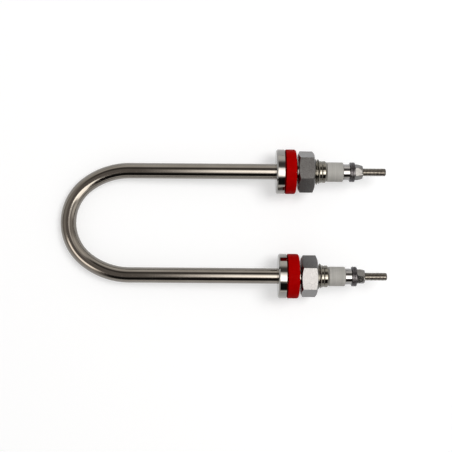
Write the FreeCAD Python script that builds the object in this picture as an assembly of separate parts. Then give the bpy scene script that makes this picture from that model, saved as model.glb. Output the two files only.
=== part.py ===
"""Tubular heating element: a sheathed heater bent to a U, with a threaded fitting and a stud terminal on each leg.

Lengths are in millimetres. The two legs lie side by side in the XY plane, leg a at +Y and leg b at -Y.
The bend is at -X and the terminals point along +X, with +Z up. The origin is midway between the two
fittings, in the plane of fitting a's shoulder, where its flange meets the gasket.
"""
import FreeCAD, Part
import math
import os

# Sheath
LEG_PITCH = 53.6            # between the axes of the two legs
SHEATH_DIAMETER = 8.0
SHEATH_WALL = 0.8
BEND_REACH = 111.2          # from fitting a's shoulder to the centre line at the tip of the bend
NOSE_RADIUS = 24.4          # centre line of the tight arc at the tip of the bend
NOSE_SWING = 52.5           # degrees that the tight arc turns through, either side of the tip
LEG_B_SHIFT = 1.4           # leg b was cut this much longer than leg a

# Threaded fitting, brazed round each leg
FLANGE_DIAMETER = 23.0
FLANGE_THICKNESS = 4.8
FLANGE_CHAMFER = 0.7
THREAD_DIAMETER = 13.16     # crests of a quarter inch parallel pipe thread
THREAD_PITCH_DIAMETER = 12.30
THREAD_LENGTH = 17.4        # from the shoulder
THREAD_CHAMFER = 0.7        # along the axis, at the thread's free end
COLLAR_DIAMETER = 11.3      # plain collar past the thread, which the bush seats on
COLLAR_LENGTH = 3.75
COLLAR_CHAMFER = 0.8

# Gasket and nut, which clamp the tank wall between them
GASKET_INSET = 0.05         # of the gasket's rim inside the flange's
GASKET_THICKNESS = {"a": 5.4, "b": 5.9}     # gasket a has been pressed a little thinner
GASKET_ROUNDING = 1.3       # of its rim on the nut's side
GASKET_BACK_ROUNDING = 0.45     # of its rim on the flange's side
PANEL_ROOM = 1.1            # left between the gasket and the nut, before they are tightened
PANEL_NUT_FLATS = 18.8
PANEL_NUT_HEIGHT = 8.2
PANEL_NUT_CHAMFER = 0.85    # along the axis at the corners
PANEL_NUT_FACE = 18.1       # diameter of the flat ring left by the chamfer
PANEL_NUT_TURN = {"a": -9.0, "b": 5.0}      # degrees from a flat that faces up

# Ceramic bush, end seal and terminal stack
BUSH_DIAMETER = 10.0
BUSH_HEAD_LENGTH = 8.4
BUSH_SPIGOT_LENGTH = 4.0
BUSH_ROUNDING = 0.4
SEAL_LENGTH = 4.0
SPACER_DIAMETER = 8.2
SPACER_LENGTH = 3.5
SPACER_ROUNDING = 0.25
WASHER_DIAMETER = 10.1
WASHER_THICKNESS = 1.2
WASHER_ROUNDING = 0.25
STACK_BORE = 4.3            # of the spacer and the washers, over the stud
TERMINAL_NUT_FLATS = 7.0
TERMINAL_NUT_HEIGHT = 4.1
TERMINAL_NUT_CHAMFER = 2.6  # along the axis at the corners, at the free end
TERMINAL_NUT_BACK_CHAMFER = 0.5
TERMINAL_NUT_FACE = 6.8
TERMINAL_NUT_TURN = {"a": 0.0, "b": 20.0}

# Terminal pin: a plain shank inside, a rolled stud outside
STUD_DIAMETER = 4.0
STUD_PITCH_DIAMETER = 3.55  # also the blank that the thread is rolled on, so the shank's own size
STUD_FREE_LENGTH = {"a": 12.0, "b": 11.6}   # past the terminal nut
STUD_TIP_CHAMFER = 0.5
PIN_COLD_LENGTH = 30.0      # from the shoulder back to the start of the coil
PIN_SPIGOT_LENGTH = 6.0     # turned down end that the coil is pushed on and welded to

# Resistance coil, drawn as the sleeve that its close turns fill
COIL_DIAMETER = 3.6
COIL_WIRE = 0.4

# Clearances
FIT_GAP = 0.02              # round pieces that are packed, pressed or screwed together
BRAZE_GAP = 0.05            # between the sheath and the fitting's bore
GASKET_GAP = 0.10           # between the thread and the gasket's bore

# Sizes that follow from those above
SHEATH_BORE = SHEATH_DIAMETER - 2 * SHEATH_WALL
HALF_PITCH = LEG_PITCH / 2
SWING = math.radians(NOSE_SWING)
# the wider arcs that lead from the nose into the legs, tangent to both
SHOULDER_RADIUS = (HALF_PITCH - NOSE_RADIUS * math.sin(SWING)) / (1 - math.sin(SWING))
GASKET_DIAMETER = FLANGE_DIAMETER - 2 * GASKET_INSET
COIL_BORE = COIL_DIAMETER - 2 * COIL_WIRE
LEG_SIDE = {"a": 1, "b": -1}
LEG_SHIFT = {"a": 0.0, "b": LEG_B_SHIFT}

# Stations along a leg, from its own shoulder
NUT_START = {leg: thickness + PANEL_ROOM for leg, thickness in GASKET_THICKNESS.items()}
SLEEVE_END = THREAD_LENGTH + COLLAR_LENGTH
SPIGOT_START = SLEEVE_END - BUSH_SPIGOT_LENGTH
SEAL_START = SPIGOT_START - SEAL_LENGTH
HEAD_END = SLEEVE_END + BUSH_HEAD_LENGTH
SPACER_END = HEAD_END + SPACER_LENGTH
INNER_WASHER_END = SPACER_END + WASHER_THICKNESS
OUTER_WASHER_END = INNER_WASHER_END + WASHER_THICKNESS
TERMINAL_NUT_END = OUTER_WASHER_END + TERMINAL_NUT_HEIGHT
COIL_START = -PIN_COLD_LENGTH
THREAD_START = HEAD_END + SPACER_LENGTH / 2     # where the pin's rolled thread begins, inside the spacer

X_AXIS = FreeCAD.Vector(1, 0, 0)


def on_leg(shape, leg):
    """The shape, made on the X axis from the shoulder, moved to its leg."""
    moved = shape.copy()
    moved.translate(FreeCAD.Vector(LEG_SHIFT[leg], LEG_SIDE[leg] * HALF_PITCH, 0))
    return moved


def half_section(corners):
    """A closed wire in the XY plane through (x, radius, rounding) corners, each rounded by its own arc."""
    points = [FreeCAD.Vector(x, radius, 0) for x, radius, rounding in corners]
    starts = []
    ends = []
    middles = []
    for i, (x, radius, rounding) in enumerate(corners):
        here = points[i]
        back = (points[i - 1] - here).normalize()
        ahead = (points[(i + 1) % len(points)] - here).normalize()
        half_angle = back.getAngle(ahead) / 2
        run = rounding / math.tan(half_angle)
        bisector = (back + ahead).normalize()
        starts.append(here + back * run)
        ends.append(here + ahead * run)
        middles.append(here + bisector * (rounding / math.sin(half_angle) - rounding))
    edges = []
    for i, (x, radius, rounding) in enumerate(corners):
        if rounding > 0:
            edges.append(Part.Arc(starts[i], middles[i], ends[i]).toShape())
        edges.append(Part.LineSegment(ends[i], starts[(i + 1) % len(corners)]).toShape())
    return Part.Wire(edges)


def turned(corners):
    """A solid turned about the X axis from its half section."""
    full_corners = [corner if len(corner) == 3 else (*corner, 0.0) for corner in corners]
    face = Part.Face(half_section(full_corners))
    return face.revolve(FreeCAD.Vector(0, 0, 0), X_AXIS, 360)


def ring(start, end, inner_diameter, outer_diameter, inner_rounding=0.0, outer_rounding=0.0):
    """A turned ring; the rounding at its start and at its end is on the outer rims only."""
    return turned([
        (start, inner_diameter / 2),
        (end, inner_diameter / 2),
        (end, outer_diameter / 2, outer_rounding),
        (start, outer_diameter / 2, inner_rounding),
    ])


def hexagon_prism(start, height, flats, turn):
    """A hexagonal bar along X with a flat facing +Z, turned about its axis by turn degrees."""
    corner_radius = flats / math.sqrt(3)
    corners = []
    for i in range(7):
        angle = math.radians(60 * i + turn)
        corners.append(FreeCAD.Vector(start, corner_radius * math.cos(angle), corner_radius * math.sin(angle)))
    return Part.Face(Part.makePolygon(corners)).extrude(X_AXIS * height)


def hexagon_nut(start, height, flats, turn, face_diameter, chamfers, bore_diameter, bore_chamfer):
    """A hexagon nut, its corners turned away by a cone at each end; chamfers are (start, end) lengths."""
    end = start + height
    corner_radius = flats / math.sqrt(3)
    envelope = turned([
        (start, 0.0),
        (end, 0.0),
        (end, face_diameter / 2),
        (end - chamfers[1], corner_radius),
        (start + chamfers[0], corner_radius),
        (start, face_diameter / 2),
    ])
    bore = turned([
        (start, 0.0),
        (end, 0.0),
        (end, bore_diameter / 2 + bore_chamfer),
        (end - bore_chamfer, bore_diameter / 2),
        (start + bore_chamfer, bore_diameter / 2),
        (start, bore_diameter / 2 + bore_chamfer),
    ])
    return hexagon_prism(start, height, flats, turn).common(envelope).cut(bore)


def heater_path(station_a, station_b):
    """The sheath's centre line from a station on leg a, round the bend, to a station on leg b."""
    nose_x = -BEND_REACH + NOSE_RADIUS
    leg_start_x = nose_x + (SHOULDER_RADIUS - NOSE_RADIUS) * math.cos(SWING)
    shoulder_y = HALF_PITCH - SHOULDER_RADIUS
    middle_swing = (math.pi / 2 + SWING) / 2

    def on_nose(angle, side):
        return FreeCAD.Vector(nose_x - NOSE_RADIUS * math.cos(angle), side * NOSE_RADIUS * math.sin(angle), 0)

    def on_shoulder(angle, side):
        across = shoulder_y + SHOULDER_RADIUS * math.sin(angle)
        return FreeCAD.Vector(leg_start_x - SHOULDER_RADIUS * math.cos(angle), side * across, 0)

    def on_straight(x, side):
        return FreeCAD.Vector(x, side * HALF_PITCH, 0)

    edges = [
        Part.LineSegment(on_straight(station_a, 1), on_straight(leg_start_x, 1)),
        Part.Arc(on_straight(leg_start_x, 1), on_shoulder(middle_swing, 1), on_nose(SWING, 1)),
        Part.Arc(on_nose(SWING, 1), on_nose(0, 1), on_nose(SWING, -1)),
        Part.Arc(on_nose(SWING, -1), on_shoulder(middle_swing, -1), on_straight(leg_start_x, -1)),
        Part.LineSegment(on_straight(leg_start_x, -1), on_straight(station_b + LEG_B_SHIFT, -1)),
    ]
    return Part.Wire([edge.toShape() for edge in edges])


def bent_rod(diameter, station_a, station_b):
    """A solid round bar along the heater's centre line between two stations."""
    path = heater_path(station_a, station_b)
    start = FreeCAD.Vector(station_a, HALF_PITCH, 0)
    profile = Part.Face(Part.Wire(Part.makeCircle(diameter / 2, start, X_AXIS)))
    return path.makePipe(profile)


def sheath_tube():
    outside = bent_rod(SHEATH_DIAMETER, SLEEVE_END, SLEEVE_END)
    inside = bent_rod(SHEATH_BORE, SLEEVE_END, SLEEVE_END)
    return outside.cut(inside)


def resistance_coil():
    outside = bent_rod(COIL_DIAMETER, COIL_START, COIL_START)
    inside = bent_rod(COIL_BORE, COIL_START, COIL_START)
    return outside.cut(inside)


def magnesia_jacket():
    """The compacted powder between the coil and the sheath, up to the end seals."""
    shape = bent_rod(SHEATH_BORE - 2 * FIT_GAP, SEAL_START, SEAL_START)
    shape = shape.cut(bent_rod(COIL_DIAMETER + 2 * FIT_GAP, COIL_START, COIL_START))
    for leg in LEG_SIDE:
        shank_room = Part.makeCylinder(
            STUD_PITCH_DIAMETER / 2 + FIT_GAP, SEAL_START - COIL_START,
            FreeCAD.Vector(COIL_START, 0, 0), X_AXIS)
        shape = shape.cut(on_leg(shank_room, leg))
    return shape


def magnesia_core():
    """The compacted powder inside the coil, between the ends of the two pins."""
    station = COIL_START - PIN_SPIGOT_LENGTH
    return bent_rod(COIL_BORE - 2 * FIT_GAP, station, station)


def terminal_pin(leg):
    tip = TERMINAL_NUT_END + STUD_FREE_LENGTH[leg]
    spigot_end = COIL_START - PIN_SPIGOT_LENGTH
    shank = STUD_PITCH_DIAMETER / 2
    crest = STUD_DIAMETER / 2
    spigot = COIL_BORE / 2 - FIT_GAP
    # inside the nut the two threads share the pitch diameter, so neither solid cuts into the other
    return turned([
        (spigot_end, 0.0),
        (tip, 0.0),
        (tip, crest - STUD_TIP_CHAMFER),
        (tip - STUD_TIP_CHAMFER, crest),
        (TERMINAL_NUT_END, crest),
        (TERMINAL_NUT_END, shank),
        (OUTER_WASHER_END, shank),
        (OUTER_WASHER_END, crest),
        (THREAD_START, crest),
        (THREAD_START, shank),
        (COIL_START, shank),
        (COIL_START, spigot),
        (spigot_end, spigot),
    ])


def end_seal(leg):
    return ring(SEAL_START, SPIGOT_START, STUD_PITCH_DIAMETER + 2 * FIT_GAP, SHEATH_BORE - 2 * FIT_GAP)


def threaded_fitting(leg):
    bore = SHEATH_DIAMETER / 2 + BRAZE_GAP
    crest = THREAD_DIAMETER / 2
    pitch_line = THREAD_PITCH_DIAMETER / 2
    flange = FLANGE_DIAMETER / 2
    collar = COLLAR_DIAMETER / 2
    nut_end = NUT_START[leg] + PANEL_NUT_HEIGHT
    return turned([
        (-FLANGE_THICKNESS, bore),
        (SLEEVE_END, bore),
        (SLEEVE_END, collar - COLLAR_CHAMFER),
        (SLEEVE_END - COLLAR_CHAMFER, collar),
        (THREAD_LENGTH, collar),
        (THREAD_LENGTH, pitch_line),
        (THREAD_LENGTH - THREAD_CHAMFER, crest),
        (nut_end, crest),
        (nut_end, pitch_line),
        (NUT_START[leg], pitch_line),
        (NUT_START[leg], crest),
        (0.0, crest),
        (0.0, flange - FLANGE_CHAMFER),
        (-FLANGE_CHAMFER, flange),
        (-FLANGE_THICKNESS + FLANGE_CHAMFER, flange),
        (-FLANGE_THICKNESS, flange - FLANGE_CHAMFER),
    ])


def panel_gasket(leg):
    return ring(0.0, GASKET_THICKNESS[leg], THREAD_DIAMETER + 2 * GASKET_GAP, GASKET_DIAMETER,
                GASKET_BACK_ROUNDING, GASKET_ROUNDING)


def panel_nut(leg):
    bore = THREAD_PITCH_DIAMETER + 2 * FIT_GAP
    thread_depth = (THREAD_DIAMETER - THREAD_PITCH_DIAMETER) / 2
    return hexagon_nut(NUT_START[leg], PANEL_NUT_HEIGHT, PANEL_NUT_FLATS, PANEL_NUT_TURN[leg], PANEL_NUT_FACE,
                       (PANEL_NUT_CHAMFER, PANEL_NUT_CHAMFER), bore, thread_depth)


def ceramic_bush(leg):
    """A round head that seats on the end of the sheath and the fitting, with a spigot inside the sheath."""
    bore = STUD_PITCH_DIAMETER / 2 + FIT_GAP
    spigot = SHEATH_BORE / 2 - FIT_GAP
    head = BUSH_DIAMETER / 2
    return turned([
        (SPIGOT_START, bore),
        (HEAD_END, bore),
        (HEAD_END, head, BUSH_ROUNDING),
        (SLEEVE_END, head, BUSH_ROUNDING),
        (SLEEVE_END, spigot),
        (SPIGOT_START, spigot),
    ])


def terminal_spacer(leg):
    return ring(HEAD_END, SPACER_END, STACK_BORE, SPACER_DIAMETER, SPACER_ROUNDING, SPACER_ROUNDING)


def inner_washer(leg):
    return ring(SPACER_END, INNER_WASHER_END, STACK_BORE, WASHER_DIAMETER, WASHER_ROUNDING, WASHER_ROUNDING)


def outer_washer(leg):
    return ring(INNER_WASHER_END, OUTER_WASHER_END, STACK_BORE, WASHER_DIAMETER, WASHER_ROUNDING, WASHER_ROUNDING)


def terminal_nut(leg):
    bore = STUD_PITCH_DIAMETER + 2 * FIT_GAP
    thread_depth = (STUD_DIAMETER - STUD_PITCH_DIAMETER) / 2
    return hexagon_nut(OUTER_WASHER_END, TERMINAL_NUT_HEIGHT, TERMINAL_NUT_FLATS, TERMINAL_NUT_TURN[leg],
                       TERMINAL_NUT_FACE, (TERMINAL_NUT_BACK_CHAMFER, TERMINAL_NUT_CHAMFER), bore, thread_depth)


SHARED_PIECES = (sheath_tube, resistance_coil, magnesia_jacket, magnesia_core)
LEG_PIECES = (terminal_pin, end_seal, threaded_fitting, panel_gasket, panel_nut, ceramic_bush,
              terminal_spacer, inner_washer, outer_washer, terminal_nut)


def build():
    """Every piece in its place, by node name."""
    pieces = {}
    for make in SHARED_PIECES:
        pieces[make.__name__] = make()
    for leg in LEG_SIDE:
        for make in LEG_PIECES:
            pieces[f"{make.__name__}_{leg}"] = on_leg(make(leg), leg)
    return pieces


os.makedirs("parts", exist_ok=True)
for node, piece in build().items():
    piece.exportStep(f"parts/{node}.step")
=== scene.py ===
"""Looks of the tubular heating element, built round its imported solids. Lengths are in metres.

The photograph looks straight down on the plane of the two legs, which is the XY plane of the frame.
"""

import bmesh
import bpy
import math
from mathutils import Matrix, Vector


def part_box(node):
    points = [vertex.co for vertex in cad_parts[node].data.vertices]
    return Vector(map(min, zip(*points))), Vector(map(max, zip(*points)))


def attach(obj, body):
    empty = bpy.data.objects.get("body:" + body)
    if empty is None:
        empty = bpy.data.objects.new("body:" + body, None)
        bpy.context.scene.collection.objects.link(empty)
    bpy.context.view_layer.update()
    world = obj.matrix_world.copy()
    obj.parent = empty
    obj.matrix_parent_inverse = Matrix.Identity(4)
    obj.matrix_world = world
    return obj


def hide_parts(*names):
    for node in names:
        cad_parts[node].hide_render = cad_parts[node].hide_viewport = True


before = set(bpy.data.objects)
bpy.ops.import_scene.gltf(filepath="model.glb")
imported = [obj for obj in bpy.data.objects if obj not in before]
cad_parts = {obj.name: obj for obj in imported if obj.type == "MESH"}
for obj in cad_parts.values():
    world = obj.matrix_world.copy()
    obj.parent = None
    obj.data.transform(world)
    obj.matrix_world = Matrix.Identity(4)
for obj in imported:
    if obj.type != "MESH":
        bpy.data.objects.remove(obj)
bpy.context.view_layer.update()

MM = 0.001
LEGS = ("a", "b")

# Sizes that the frame's boxes don't give, as in the part's source
SHEATH_RADIUS = 4.0 * MM
SHEATH_WALL = 0.8 * MM
NOSE_RADIUS = 24.4 * MM             # centre line of the tight arc at the tip of the bend
NOSE_SWING = math.radians(52.5)     # either side of the tip
FLANGE_THICKNESS = 4.8 * MM
FLANGE_CHAMFER = 0.7 * MM
FITTING_BORE = 4.05 * MM
THREAD_CREST = 6.58 * MM
THREAD_PITCH_LINE = 6.15 * MM
THREAD_ROOT = 5.78 * MM
THREAD_PITCH = 1.337 * MM
THREAD_LENGTH = 17.4 * MM           # from the shoulder
THREAD_CHAMFER = 0.7 * MM
COLLAR_RADIUS = 5.65 * MM
COLLAR_LENGTH = 3.75 * MM
COLLAR_CHAMFER = 0.8 * MM
STUD_CREST = 2.0 * MM
STUD_PITCH_LINE = 1.775 * MM
STUD_ROOT = 1.60 * MM
STUD_PITCH = 0.7 * MM
STUD_TIP_CHAMFER = 0.5 * MM
PIN_SPIGOT_RADIUS = 1.38 * MM
PIN_SPIGOT_LENGTH = 6.0 * MM

# Fine forms that the solids leave out
COLLAR_GROOVE_PLACE = 0.36          # share of the collar's length
COLLAR_GROOVE_DEPTH = 0.22 * MM
COLLAR_GROOVE_HALF = 0.32 * MM      # half its width
TIP_ROUNDING_LENGTH = 1.4 * STUD_TIP_CHAMFER
ROOT_FLAT = 0.15                    # share of a thread's flank that is flat at the root
THREAD_CREST_START = 0.75           # share of the flank at which the flat crest starts
STUD_CREST_START = 0.5

# How finely the surfaces are divided
SHEATH_COLUMNS = 64
SHEATH_STRAIGHT_STEP = 4.0 * MM
SHEATH_ARC_STEP = math.radians(2.5)
FITTING_COLUMNS = 128
FITTING_ROWS_A_TURN = 14
PIN_COLUMNS = 56
PIN_ROWS_A_TURN = 12
BORE_RING = 0.3 * MM                # widths of the narrow rings that edge the fitting's flat faces
SHOULDER_RING = 0.4 * MM
SLEEVE_END_RING = 0.2 * MM
PIN_AXIS_RADIUS = 0.02 * MM         # the pin's surface closes through a hair-thin hole on its axis


def smoothstep(low, high, value):
    t = min(1.0, max(0.0, (value - low) / (high - low)))
    return t * t * (3 - 2 * t)


def leg_centre(leg):
    """The y of a leg's axis, from the box of its round gasket."""
    low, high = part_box(f"panel_gasket_{leg}")
    return (low.y + high.y) / 2


def shoulder_x(leg):
    """The x of a leg's shoulder, where the flange meets the gasket."""
    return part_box(f"panel_gasket_{leg}")[0].x


# Materials

NOISE_RANGE = (0.3, 0.7)            # what the value of a noise usually stays within
TONE_RANGE = (0.35, 0.65)           # a little less, so that both tones show plainly


def new_material(name, metallic, roughness, **sockets):
    """A Principled material; the constants are set on the shader's own sockets."""
    material = bpy.data.materials.new(name)
    material.use_nodes = True
    shader = material.node_tree.nodes["Principled BSDF"]
    shader.inputs["Metallic"].default_value = metallic
    shader.inputs["Roughness"].default_value = roughness
    for socket, value in sockets.items():
        shader.inputs[socket.replace("_", " ")].default_value = value
    return material, material.node_tree, shader


def add_node(tree, kind, **settings):
    node = tree.nodes.new(kind)
    for key, value in settings.items():
        setattr(node, key, value)
    return node


def noise(tree, coordinates, scale, detail=3.0, roughness=0.55):
    """A noise value over the coordinates; the scale counts grains per metre, alike or along each axis."""
    mapping = add_node(tree, "ShaderNodeMapping")
    mapping.inputs["Scale"].default_value = scale if isinstance(scale, tuple) else (scale, scale, scale)
    texture = add_node(tree, "ShaderNodeTexNoise")
    texture.inputs["Scale"].default_value = 1.0
    texture.inputs["Detail"].default_value = detail
    texture.inputs["Roughness"].default_value = roughness
    tree.links.new(coordinates, mapping.inputs["Vector"])
    tree.links.new(mapping.outputs["Vector"], texture.inputs["Vector"])
    return texture.outputs["Fac"]


def spread(tree, value, low, high):
    """The value of a noise, stretched so that its usual range fills low to high."""
    node = add_node(tree, "ShaderNodeMapRange")
    node.inputs["From Min"].default_value = NOISE_RANGE[0]
    node.inputs["From Max"].default_value = NOISE_RANGE[1]
    node.inputs["To Min"].default_value = low
    node.inputs["To Max"].default_value = high
    tree.links.new(value, node.inputs["Value"])
    return node.outputs["Result"]


def two_tones(tree, value, first, second):
    """A colour that wanders between two tones with the value of a noise."""
    node = add_node(tree, "ShaderNodeValToRGB")
    ramp = node.color_ramp
    ramp.elements[0].position = TONE_RANGE[0]
    ramp.elements[1].position = TONE_RANGE[1]
    ramp.elements[0].color = (*first, 1.0)
    ramp.elements[1].color = (*second, 1.0)
    tree.links.new(value, node.inputs["Fac"])
    return node.outputs["Color"]


def bump(tree, shader, value, strength, distance):
    """Makes the value of a noise a fine relief, whose full height is the distance."""
    node = add_node(tree, "ShaderNodeBump")
    node.inputs["Strength"].default_value = strength
    node.inputs["Distance"].default_value = distance
    tree.links.new(value, node.inputs["Height"])
    tree.links.new(node.outputs["Normal"], shader.inputs["Normal"])


def object_coordinates(tree):
    return add_node(tree, "ShaderNodeTexCoord").outputs["Object"]


METAL_CLOUDS = 260                  # patches of tone per metre
METAL_RELIEF = 0.01 * MM
SMOOTHEST, ROUGHEST = 0.7, 1.4      # times a metal's own roughness


def metal(name, first, second, roughness, marks, grain, relief):
    """A bare or plated metal: two close tones, a roughness that varies by its marks, a fine relief."""
    material, tree, shader = new_material(name, 1.0, roughness)
    coordinates = object_coordinates(tree)
    tone = noise(tree, coordinates, METAL_CLOUDS)
    tree.links.new(two_tones(tree, tone, first, second), shader.inputs["Base Color"])
    wear = noise(tree, coordinates, marks, detail=4.0)
    varied = spread(tree, wear, roughness * SMOOTHEST, roughness * ROUGHEST)
    tree.links.new(varied, shader.inputs["Roughness"])
    bump(tree, shader, noise(tree, coordinates, grain, detail=2.0), relief, METAL_RELIEF)
    return material


# the plating's colour is multiplied darker and yellower along X, from the start to the full distance
SLEEVE_TINT_START = 6.0 * MM
SLEEVE_TINT_FULL = 12.0 * MM
SLEEVE_TINT = (0.67, 0.65, 0.59)


def tint_sleeve_darker(material):
    """Makes the plating darker and yellower on the threaded sleeves, which lie past the flanges along X."""
    tree = material.node_tree
    base = tree.nodes["Principled BSDF"].inputs["Base Color"]
    parts = add_node(tree, "ShaderNodeSeparateXYZ")
    tree.links.new(object_coordinates(tree), parts.inputs["Vector"])
    along = add_node(tree, "ShaderNodeMapRange")
    along.inputs["From Min"].default_value = SLEEVE_TINT_START
    along.inputs["From Max"].default_value = SLEEVE_TINT_FULL
    tree.links.new(parts.outputs["X"], along.inputs["Value"])
    tint = add_node(tree, "ShaderNodeMix", data_type="RGBA", blend_type="MULTIPLY")
    tree.links.new(along.outputs["Result"], tint.inputs[0])
    tree.links.new(base.links[0].from_socket, tint.inputs[6])
    tint.inputs[7].default_value = (*SLEEVE_TINT, 1.0)
    tree.links.new(tint.outputs[2], base)


def sheath_material():
    """Nickel-dark polished steel tube: warm grey, with faint marks round it from the polishing belt."""
    material, tree, shader = new_material("sheath_polished_steel", 1.0, 0.14)
    along_and_round = add_node(tree, "ShaderNodeUVMap", uv_map="along_and_round").outputs["UV"]
    tone = noise(tree, along_and_round, (60, 90, 1))
    colour = two_tones(tree, tone, (0.194, 0.178, 0.159), (0.227, 0.211, 0.19))
    tree.links.new(colour, shader.inputs["Base Color"])
    belt = noise(tree, along_and_round, (2600, 90, 1), detail=4.0)
    tree.links.new(spread(tree, belt, 0.07, 0.14), shader.inputs["Roughness"])
    bump(tree, shader, belt, 0.12, METAL_RELIEF)
    return material


def rubber_material():
    """Dull red moulded rubber with a fine skin."""
    material, tree, shader = new_material("gasket_red_rubber", 0.0, 0.5, Specular_IOR_Level=0.01)
    coordinates = object_coordinates(tree)
    tone = noise(tree, coordinates, 500)
    colour = two_tones(tree, tone, (0.335, 0.0, 0.0), (0.375, 0.0005, 0.0005))
    tree.links.new(colour, shader.inputs["Base Color"])
    fine = noise(tree, coordinates, 6000, detail=2.0)
    tree.links.new(spread(tree, fine, 0.38, 0.55), shader.inputs["Roughness"])
    bump(tree, shader, fine, 0.2, 0.02 * MM)
    return material


def ceramic_material():
    """Unglazed off-white ceramic with faint rings and a fine grit."""
    material, tree, shader = new_material("bush_ceramic", 0.0, 0.6)
    coordinates = object_coordinates(tree)
    rings = noise(tree, coordinates, (1400, 60, 60), detail=2.0)
    colour = two_tones(tree, rings, (0.35, 0.34, 0.315), (0.415, 0.402, 0.375))
    tree.links.new(colour, shader.inputs["Base Color"])
    grit = noise(tree, coordinates, 5000)
    tree.links.new(spread(tree, grit, 0.5, 0.75), shader.inputs["Roughness"])
    bump(tree, shader, grit, 0.25, 0.03 * MM)
    return material


def powder_material():
    """Compacted white magnesium oxide."""
    material, tree, shader = new_material("magnesia_powder", 0.0, 0.9)
    coordinates = object_coordinates(tree)
    tone = noise(tree, coordinates, 1500)
    colour = two_tones(tree, tone, (0.66, 0.65, 0.62), (0.76, 0.75, 0.72))
    tree.links.new(colour, shader.inputs["Base Color"])
    grit = noise(tree, coordinates, 9000)
    bump(tree, shader, grit, 0.5, 0.05 * MM)
    return material


def resin_material():
    """Poured sealing resin, cream with a soft sheen."""
    material, tree, shader = new_material("seal_resin", 0.0, 0.5)
    coordinates = object_coordinates(tree)
    tone = noise(tree, coordinates, 900)
    colour = two_tones(tree, tone, (0.52, 0.48, 0.38), (0.60, 0.56, 0.46))
    tree.links.new(colour, shader.inputs["Base Color"])
    bump(tree, shader, tone, 0.3, 0.04 * MM)
    return material


SHEATH = sheath_material()
FITTING = metal("fitting_plated_steel", (0.25, 0.242, 0.23), (0.285, 0.277, 0.264), roughness=0.07,
                marks=(1800, 150, 150), grain=(3000, 400, 400), relief=0.05)
tint_sleeve_darker(FITTING)
NUT = metal("nut_plated_steel", (0.165, 0.163, 0.163), (0.184, 0.182, 0.182), roughness=0.28,
            marks=3000, grain=4000, relief=0.02)
TERMINAL = metal("terminal_plated_steel", (0.29, 0.285, 0.285), (0.33, 0.325, 0.325), roughness=0.10,
                 marks=(900, 300, 300), grain=(3000, 900, 900), relief=0.05)
SMALL_NUT = metal("small_nut_plated_steel", (0.16, 0.157, 0.155), (0.195, 0.192, 0.19), roughness=0.22,
                  marks=900, grain=2500, relief=0.03)
WASHER = metal("washer_dull_steel", (0.068, 0.063, 0.068), (0.105, 0.10, 0.105), roughness=0.32,
               marks=(1500, 600, 600), grain=(4000, 2500, 2500), relief=0.25)
PIN = metal("pin_steel", (0.155, 0.141, 0.122), (0.19, 0.175, 0.155), roughness=0.13,
            marks=(900, 300, 300), grain=(3000, 900, 900), relief=0.05)
COIL = metal("coil_alloy", (0.32, 0.31, 0.30), (0.40, 0.39, 0.38), roughness=0.4,
             marks=900, grain=4000, relief=0.25)
RUBBER = rubber_material()
CERAMIC = ceramic_material()
POWDER = powder_material()
RESIN = resin_material()

NODE_MATERIALS = {
    "magnesia_jacket": POWDER,
    "magnesia_core": POWDER,
    "resistance_coil": COIL,
}
for leg in LEGS:
    NODE_MATERIALS[f"end_seal_{leg}"] = RESIN
    NODE_MATERIALS[f"panel_gasket_{leg}"] = RUBBER
    NODE_MATERIALS[f"panel_nut_{leg}"] = NUT
    NODE_MATERIALS[f"ceramic_bush_{leg}"] = CERAMIC
    NODE_MATERIALS[f"terminal_spacer_{leg}"] = TERMINAL
    NODE_MATERIALS[f"inner_washer_{leg}"] = WASHER
    NODE_MATERIALS[f"outer_washer_{leg}"] = WASHER
    NODE_MATERIALS[f"terminal_nut_{leg}"] = SMALL_NUT

for node, material in NODE_MATERIALS.items():
    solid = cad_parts[node]
    solid.data.materials.clear()
    solid.data.materials.append(material)


# Meshes

def mesh_piece(name, bm, material, node):
    """A finished piece that stands for one node and rides with the part."""
    bmesh.ops.recalc_face_normals(bm, faces=bm.faces)
    mesh = bpy.data.meshes.new(name)
    bm.to_mesh(mesh)
    bm.free()
    mesh.materials.append(material)
    mesh.shade_smooth()
    piece = bpy.data.objects.new(name, mesh)
    bpy.context.scene.collection.objects.link(piece)
    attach(piece, "root")
    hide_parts(node)
    return piece


def sharpen(piece, degrees):
    """Shades edges sharper than the angle as real edges."""
    piece.data.set_sharp_from_angle(angle=math.radians(degrees))


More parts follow.
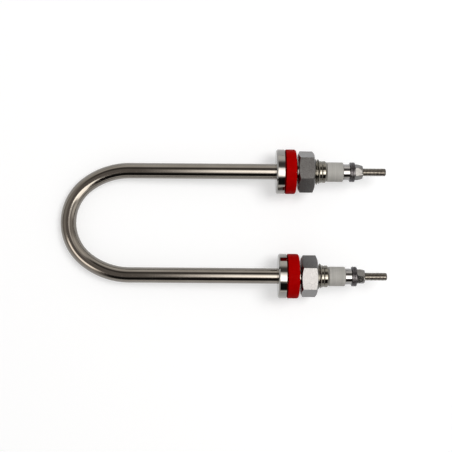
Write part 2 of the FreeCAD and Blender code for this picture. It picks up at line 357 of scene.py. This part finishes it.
def heater_line():
    """The sheath's centre line from the end of leg a to that of leg b.

    Each sample holds the length along the line, the point and the direction.
    """
    half_pitch = leg_centre("a")
    low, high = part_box("sheath_tube")
    nose_x = low.x + SHEATH_RADIUS + NOSE_RADIUS
    wide_radius = (half_pitch - NOSE_RADIUS * math.sin(NOSE_SWING)) / (1 - math.sin(NOSE_SWING))
    leg_x = nose_x + (wide_radius - NOSE_RADIUS) * math.cos(NOSE_SWING)
    samples = []
    length = 0.0

    def straight(start_x, end_x, y):
        nonlocal length
        count = max(2, round(abs(end_x - start_x) / SHEATH_STRAIGHT_STEP))
        way = Vector((math.copysign(1.0, end_x - start_x), 0, 0))
        for i in range(count):
            x = start_x + (end_x - start_x) * i / count
            samples.append((length + abs(x - start_x), Vector((x, y, 0)), way))
        length += abs(end_x - start_x)

    def arc(centre, radius, start, end):
        """From one angle to another, both counted anticlockwise from +X."""
        nonlocal length
        count = max(4, round(abs(end - start) / SHEATH_ARC_STEP))
        for i in range(count):
            angle = start + (end - start) * i / count
            out = Vector((math.cos(angle), math.sin(angle), 0))
            way = Vector((-math.sin(angle), math.cos(angle), 0))
            samples.append((length + radius * abs(angle - start), centre + radius * out, way))
        length += radius * abs(end - start)

    sleeve_end = {leg: shoulder_x(leg) + THREAD_LENGTH + COLLAR_LENGTH for leg in LEGS}
    up = math.pi / 2
    nose_start = math.pi - NOSE_SWING
    nose_end = math.pi + NOSE_SWING
    straight(sleeve_end["a"], leg_x, half_pitch)
    arc(Vector((leg_x, half_pitch - wide_radius, 0)), wide_radius, up, nose_start)
    arc(Vector((nose_x, 0, 0)), NOSE_RADIUS, nose_start, nose_end)
    arc(Vector((leg_x, wide_radius - half_pitch, 0)), wide_radius, nose_end, 3 * up)
    straight(leg_x, sleeve_end["b"], -half_pitch)
    samples.append((length, Vector((sleeve_end["b"], -half_pitch, 0)), Vector((1, 0, 0))))
    return samples


def sheath_piece():
    """The bent tube with its bore, with a map that runs along it and round it in metres."""
    samples = heater_line()
    columns = SHEATH_COLUMNS
    up = Vector((0, 0, 1))
    bm = bmesh.new()
    uv_layer = bm.loops.layers.uv.new("along_and_round")

    def tube_wall(radius):
        rings = []
        for length, point, direction in samples:
            side = direction.cross(up)
            ring = []
            for j in range(columns):
                angle = 2 * math.pi * j / columns
                ring.append(bm.verts.new(point + radius * (side * math.cos(angle) + up * math.sin(angle))))
            rings.append(ring)
        around = 2 * math.pi * radius / columns
        for i in range(len(rings) - 1):
            for j in range(columns):
                k = (j + 1) % columns
                face = bm.faces.new((rings[i][j], rings[i][k], rings[i + 1][k], rings[i + 1][j]))
                corners = ((i, j), (i, j + 1), (i + 1, j + 1), (i + 1, j))
                for loop, (row, column) in zip(face.loops, corners):
                    loop[uv_layer].uv = (samples[row][0], column * around)
        return rings

    outside = tube_wall(SHEATH_RADIUS)
    inside = tube_wall(SHEATH_RADIUS - SHEATH_WALL)
    for row in (0, -1):
        for j in range(columns):
            k = (j + 1) % columns
            bm.faces.new((outside[row][j], outside[row][k], inside[row][k], inside[row][j]))
    piece = mesh_piece("sheath", bm, SHEATH, "sheath_tube")
    sharpen(piece, 40)


def lathe(rows, columns, centre_y, start_x, radius_at):
    """A ring-shaped surface turned about a leg's axis, its last row joined to its first.

    The rows hold x and a base radius; radius_at(x, base, angle) gives each point's own radius.
    """
    bm = bmesh.new()
    rings = []
    for x, base in rows:
        ring = []
        for j in range(columns):
            angle = 2 * math.pi * j / columns
            radius = radius_at(x, base, angle)
            y = centre_y + radius * math.cos(angle)
            ring.append(bm.verts.new((start_x + x, y, radius * math.sin(angle))))
        rings.append(ring)
    for i in range(len(rings)):
        after = rings[(i + 1) % len(rings)]
        for j in range(columns):
            k = (j + 1) % columns
            bm.faces.new((rings[i][j], rings[i][k], after[k], after[j]))
    return bm


def thread_wave(x, angle, pitch, crest_start):
    """From 0 at the root to 1 at the crest of a right-hand thread, both worn a little flat."""
    turns = (x / pitch - angle / (2 * math.pi)) % 1.0
    flank = 1 - abs(2 * turns - 1)
    return smoothstep(ROOT_FLAT, crest_start, flank)


def fitting_piece(leg):
    """Flange and threaded sleeve in one, with a full helical thread where the nut leaves it free."""
    start_x = shoulder_x(leg)
    gasket_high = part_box(f"panel_gasket_{leg}")[1]
    nut_low, nut_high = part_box(f"panel_nut_{leg}")
    flange_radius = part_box(f"threaded_fitting_{leg}")[1].z
    gasket_end = gasket_high.x - start_x
    nut_start = nut_low.x - start_x
    nut_end = nut_high.x - start_x
    sleeve_end = THREAD_LENGTH + COLLAR_LENGTH
    groove = THREAD_LENGTH + COLLAR_GROOVE_PLACE * COLLAR_LENGTH
    rows = [
        (-FLANGE_THICKNESS, FITTING_BORE),
        (-FLANGE_THICKNESS, FITTING_BORE + BORE_RING),
        (-FLANGE_THICKNESS, flange_radius - FLANGE_CHAMFER),
        (-FLANGE_THICKNESS + FLANGE_CHAMFER, flange_radius),
        (-FLANGE_CHAMFER, flange_radius),
        (0.0, flange_radius - FLANGE_CHAMFER),
        (0.0, THREAD_CREST + SHOULDER_RING),
        (0.0, THREAD_CREST),
    ]
    first = gasket_end - THREAD_PITCH
    count = math.ceil((THREAD_LENGTH - first) / (THREAD_PITCH / FITTING_ROWS_A_TURN))
    for i in range(count + 1):
        rows.append((first + (THREAD_LENGTH - first) * i / count, THREAD_CREST))
    rows += [
        (THREAD_LENGTH, COLLAR_RADIUS),
        (groove - COLLAR_GROOVE_HALF, COLLAR_RADIUS),
        (groove, COLLAR_RADIUS - COLLAR_GROOVE_DEPTH),
        (groove + COLLAR_GROOVE_HALF, COLLAR_RADIUS),
        (sleeve_end - COLLAR_CHAMFER, COLLAR_RADIUS),
        (sleeve_end, COLLAR_RADIUS - COLLAR_CHAMFER),
        (sleeve_end, FITTING_BORE + SLEEVE_END_RING),
        (sleeve_end, FITTING_BORE),
    ]

    def radius_at(x, base, angle):
        if base != THREAD_CREST or x <= 0.0:
            return base
        if nut_start <= x <= nut_end:
            return THREAD_PITCH_LINE
        wave = thread_wave(x, angle, THREAD_PITCH, THREAD_CREST_START)
        radius = THREAD_ROOT + (THREAD_CREST - THREAD_ROOT) * wave
        into_chamfer = max(0.0, (x - THREAD_LENGTH) / THREAD_CHAMFER + 1)
        return min(radius, THREAD_CREST - (THREAD_CREST - THREAD_PITCH_LINE) * into_chamfer)

    bm = lathe(rows, FITTING_COLUMNS, leg_centre(leg), start_x, radius_at)
    piece = mesh_piece(f"fitting_{leg}", bm, FITTING, f"threaded_fitting_{leg}")
    sharpen(piece, 25)


def pin_piece(leg):
    """Terminal pin: spigot and shank inside the sheath, rolled thread outside."""
    low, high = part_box(f"terminal_pin_{leg}")
    nut_low, nut_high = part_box(f"terminal_nut_{leg}")
    washer_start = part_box(f"inner_washer_{leg}")[0].x
    start_x = shoulder_x(leg)
    tip = high.x - start_x
    spigot = low.x - start_x
    thread_start = washer_start - start_x
    nut_start = nut_low.x - start_x
    nut_end = nut_high.x - start_x
    rows = [
        (spigot, PIN_AXIS_RADIUS),
        (spigot, PIN_SPIGOT_RADIUS),
        (spigot + PIN_SPIGOT_LENGTH, PIN_SPIGOT_RADIUS),
        (spigot + PIN_SPIGOT_LENGTH, STUD_PITCH_LINE),
    ]
    count = math.ceil((tip - thread_start) / (STUD_PITCH / PIN_ROWS_A_TURN))
    for i in range(count + 1):
        rows.append((thread_start + (tip - thread_start) * i / count, STUD_CREST))
    rows.append((tip, PIN_AXIS_RADIUS))

    def radius_at(x, base, angle):
        if base != STUD_CREST:
            return base
        if x <= thread_start or nut_start <= x <= nut_end:
            return STUD_PITCH_LINE
        wave = thread_wave(x, angle, STUD_PITCH, STUD_CREST_START)
        radius = STUD_ROOT + (STUD_CREST - STUD_ROOT) * wave
        from_tip = tip - x
        if from_tip < TIP_ROUNDING_LENGTH:
            rounding = math.sqrt(max(0.0, 1 - (1 - from_tip / TIP_ROUNDING_LENGTH) ** 2))
            radius = min(radius, STUD_CREST - STUD_TIP_CHAMFER * (1 - rounding))
        return radius

    bm = lathe(rows, PIN_COLUMNS, leg_centre(leg), start_x, radius_at)
    piece = mesh_piece(f"pin_{leg}", bm, PIN, f"terminal_pin_{leg}")
    sharpen(piece, 50)


sheath_piece()
for leg in LEGS:
    fitting_piece(leg)
    pin_piece(leg)


# Floor: the plane that the flanges' rims and the bend's underside lie on

FLOOR_TONE = 0.62
FLOOR_TOP_UP = 0.455
FLOOR_HALF_SIDE = 3.0               # metres


def lay_floor():
    """A plane that touches the flanges at their lower rims and the bend at its tip's underside."""
    flange_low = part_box("threaded_fitting_a")[0]
    bend_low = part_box("sheath_tube")[0]
    rim = Vector((flange_low.x + FLANGE_CHAMFER, 0, flange_low.z))
    nose = Vector((bend_low.x + SHEATH_RADIUS, 0, -SHEATH_RADIUS))
    normal = (rim - nose).cross(Vector((0, 1, 0)))
    turned = normal.to_track_quat("Z", "X").to_matrix().to_4x4()
    bm = bmesh.new()
    bmesh.ops.create_grid(bm, x_segments=1, y_segments=1, size=FLOOR_HALF_SIDE)
    mesh = bpy.data.meshes.new("floor")
    bm.to_mesh(mesh)
    bm.free()
    floor = bpy.data.objects.new("floor", mesh)
    floor.matrix_world = Matrix.Translation(rim) @ turned
    bpy.context.scene.collection.objects.link(floor)
    mesh.materials.append(floor_material())


def floor_material():
    """White card: a glow tops up what the camera and the metal see to white, and the shadow stays."""
    material, tree, shader = new_material("floor_white_card", 0.0, 0.9, Specular_IOR_Level=0.0)
    shader.inputs["Base Color"].default_value = (FLOOR_TONE, FLOOR_TONE, FLOOR_TONE, 1.0)
    rays = add_node(tree, "ShaderNodeLightPath")
    seen = rays.outputs["Is Camera Ray"]
    for ray in ("Is Glossy Ray", "Is Transmission Ray"):
        either = add_node(tree, "ShaderNodeMath", operation="MAXIMUM")
        tree.links.new(seen, either.inputs[0])
        tree.links.new(rays.outputs[ray], either.inputs[1])
        seen = either.outputs["Value"]
    top_up = add_node(tree, "ShaderNodeMath", operation="MULTIPLY")
    top_up.inputs[1].default_value = FLOOR_TOP_UP
    tree.links.new(seen, top_up.inputs[0])
    shader.inputs["Emission Color"].default_value = (1.0, 1.0, 1.0, 1.0)
    tree.links.new(top_up.outputs["Value"], shader.inputs["Emission Strength"])
    return material


lay_floor()


# Light: a dim room that the metal reflects, painted on the world one patch over another.
# Each patch has its level and, for each way of looking, a range and the soft margin at both of its ends.
# Ways of looking, in degrees: roll and pitch lean from overhead towards +Y and +X, aside is the roll to
# either side, lean is the angle from overhead whichever way, and the compass is counted from +X.
# Ahead and across are shares of the height: how far a direction runs along X, and along a slanting line.

EVEN_LEVEL = (0.46, 0.455, 0.45)    # what lights the dull surfaces
ROOM_LEVEL = (0.34, 0.31, 0.285)
ACROSS_SLANT = 1.12                 # how much X counts beside Y
NO_END = 1000.0                     # for a range that is open at its far end
ROOM_PATCHES = {
    "glow at the terminals' end": ((0.72, 0.68, 0.63), {"pitch": (30, 70, 12)}),
    "glow at the bend's end": ((0.62, 0.58, 0.53), {"pitch": (-68, -32, 10)}),
    "walls": ((0.98, 0.94, 0.89), {"aside": (57, 200, 11)}),
    "walls beside the legs": ((1.28, 1.23, 1.16), {"aside": (57, 200, 11), "pitch": (-48, 48, 15)}),
    "dark ceiling edge at +Y": ((0.12, 0.11, 0.10), {"roll": (24, 46, 6), "pitch": (-35, 35, 8)}),
    "dark figure at -Y": ((0.015, 0.014, 0.013), {"roll": (-76, -32, 6), "compass": (-120, -62, 9)}),
    "glow at +X and +Y": ((1.35, 1.29, 1.2), {"compass": (22, 62, 8), "lean": (27, 62, 8)}),
    "lamp at +X": ((1.5, 1.42, 1.32), {"compass": (-32, -8, 7), "lean": (50, 78, 7)}),
    "bright lamp at +X and -Y": ((4.7, 4.5, 4.25), {
        "compass": (-90, -37, 6),
        "lean": (4, 61, 6),
        "across": (-0.37, NO_END, 0.08),    # a straight edge that slants over the ceiling
        "ahead": (0.08, NO_END, 0.04),
    }),
    "lamp at -X and -Y": ((4.2, 3.9, 3.6), {"compass": (-164, -126, 6), "lean": (30, 52, 6)}),
}


def light_room():
    """The patched room for reflections alone, and an even level for all else."""
    world = bpy.data.worlds.new("studio")
    bpy.context.scene.world = world
    world.use_nodes = True
    tree = world.node_tree

    def maths(operation, *values):
        node = add_node(tree, "ShaderNodeMath", operation=operation)
        for socket, value in zip(node.inputs, values):
            if isinstance(value, (int, float)):
                socket.default_value = value
            else:
                tree.links.new(value, socket)
        return node.outputs["Value"]

    def ramp(value, start, finish):
        """From 0 to 1 as the value goes from start to finish."""
        node = add_node(tree, "ShaderNodeMapRange", interpolation_type="SMOOTHSTEP")
        node.inputs["From Min"].default_value = start
        node.inputs["From Max"].default_value = finish
        tree.links.new(value, node.inputs["Value"])
        return node.outputs["Result"]

    def within(value, low, high, soft):
        """1 between low and high, fading over the soft margin at each end."""
        return maths("MULTIPLY", ramp(value, low - soft, low + soft), ramp(value, high + soft, high - soft))

    def paint(under, mask, over):
        """One colour laid over another where the mask is 1."""
        node = add_node(tree, "ShaderNodeMix", data_type="RGBA")
        tree.links.new(mask, node.inputs[0])
        for socket, colour in zip(node.inputs[6:8], (under, over)):
            if isinstance(colour, tuple):
                socket.default_value = (*colour, 1.0)
            else:
                tree.links.new(colour, socket)
        return node.outputs[2]

    parts = add_node(tree, "ShaderNodeSeparateXYZ")
    direction = add_node(tree, "ShaderNodeTexCoord").outputs["Generated"]
    tree.links.new(direction, parts.inputs["Vector"])
    x, y, z = (parts.outputs[axis] for axis in "XYZ")

    def degrees(operation, *values):
        return maths("MULTIPLY", maths(operation, *values), math.degrees(1))

    roll = degrees("ARCTAN2", y, z)
    ways = {
        "roll": roll,
        "aside": maths("ABSOLUTE", roll),
        "pitch": degrees("ARCTAN2", x, z),
        "compass": degrees("ARCTAN2", y, x),
        "lean": degrees("ARCCOSINE", z),
        "ahead": maths("DIVIDE", x, z),
        "across": maths("DIVIDE", maths("ADD", y, maths("MULTIPLY", x, ACROSS_SLANT)), z),
    }
    colour = ROOM_LEVEL
    for level, ranges in ROOM_PATCHES.values():
        mask = 1.0
        for way, limits in ranges.items():
            mask = maths("MULTIPLY", mask, within(ways[way], *limits))
        colour = paint(colour, mask, level)
    rays = add_node(tree, "ShaderNodeLightPath")
    colour = paint(EVEN_LEVEL, rays.outputs["Is Glossy Ray"], colour)
    tree.links.new(colour, tree.nodes["Background"].inputs["Color"])


light_room()


# Lamps: the panel shows in reflections alone, and the key lights the dull surfaces alone

PANEL_HEIGHT = 250 * MM
PANEL_X = (-100 * MM, 125 * MM)
PANEL_Y = (-130 * MM, 105 * MM)
PANEL_FADE = 100 * MM               # of its glow, at the bend's end
PANEL_GLOW = (5.4, 5.2, 4.95)       # seen square on
PANEL_SPREAD = math.radians(58)     # set by the panel's grid
PANEL_TILT = math.radians(4)        # its glow leans towards +Y
KEY_POWER = 6.6                     # watts
KEY_PLACE = Vector((0.40, 0.22, 1.0))
KEY_SIDE = 0.5                      # metres


def hang_panel():
    """A gridded soft box above the legs, dimmer towards the bend: it makes the highlights on the metal."""
    data = bpy.data.lights.new("panel", "AREA")
    data.shape = "RECTANGLE"
    data.size = PANEL_X[1] - PANEL_X[0]
    data.size_y = PANEL_Y[1] - PANEL_Y[0]
    data.spread = PANEL_SPREAD
    half = PANEL_SPREAD / 2
    peak = math.tan(half) / (math.tan(half) - half)     # of the grid's beam, over its mean
    data.energy = math.pi * data.size * data.size_y / peak
    data.color = PANEL_GLOW
    data.use_nodes = True
    tree = data.node_tree
    parts = add_node(tree, "ShaderNodeSeparateXYZ")
    tree.links.new(add_node(tree, "ShaderNodeNewGeometry").outputs["Position"], parts.inputs["Vector"])
    fade = add_node(tree, "ShaderNodeMapRange", interpolation_type="SMOOTHSTEP")
    fade.inputs["From Min"].default_value = PANEL_X[0]
    fade.inputs["From Max"].default_value = PANEL_X[0] + PANEL_FADE
    tree.links.new(parts.outputs["X"], fade.inputs["Value"])
    tree.links.new(fade.outputs["Result"], tree.nodes["Emission"].inputs["Strength"])
    panel = bpy.data.objects.new("panel", data)
    place = Vector((sum(PANEL_X) / 2, sum(PANEL_Y) / 2, PANEL_HEIGHT))
    panel.matrix_world = Matrix.Translation(place) @ Matrix.Rotation(PANEL_TILT, 4, "X")
    panel.visible_camera = False
    panel.visible_diffuse = False
    bpy.context.scene.collection.objects.link(panel)


def hang_key():
    """The general light, from high on the terminals' side, which also casts the shadow."""
    data = bpy.data.lights.new("key", "AREA")
    data.shape = "SQUARE"
    data.size = KEY_SIDE
    data.energy = KEY_POWER
    key = bpy.data.objects.new("key", data)
    aimed = KEY_PLACE.to_track_quat("Z", "Y").to_matrix().to_4x4()
    key.matrix_world = Matrix.Translation(KEY_PLACE) @ aimed
    key.visible_glossy = False
    key.visible_camera = False
    bpy.context.scene.collection.objects.link(key)


hang_panel()
hang_key()


# Camera: straight above the legs, which its picture shows a little turned

PICTURE_PIXELS = 452.0
SENSOR_WIDTH = 36.0
PIXELS_PER_METRE = 1945.0           # in the plane of the legs
CAMERA_DISTANCE = 0.437             # metres above that plane
CAMERA_ROLL = math.radians(0.43)
PICTURE_CENTRE = Vector((-30.2 * MM, -1.3 * MM, 0.0))


def set_camera():
    """A camera whose picture has the photograph's scale in the plane of the legs."""
    data = bpy.data.cameras.new("camera")
    data.sensor_width = SENSOR_WIDTH
    data.lens = PIXELS_PER_METRE * CAMERA_DISTANCE / PICTURE_PIXELS * SENSOR_WIDTH
    data.clip_start = 0.01
    data.clip_end = 20.0
    camera = bpy.data.objects.new("camera", data)
    lift = Matrix.Translation(PICTURE_CENTRE + Vector((0, 0, CAMERA_DISTANCE)))
    camera.matrix_world = lift @ Matrix.Rotation(CAMERA_ROLL, 4, "Z")
    bpy.context.scene.collection.objects.link(camera)
    bpy.context.scene.camera = camera


set_camera()
bpy.context.scene.view_settings.view_transform = "Standard"
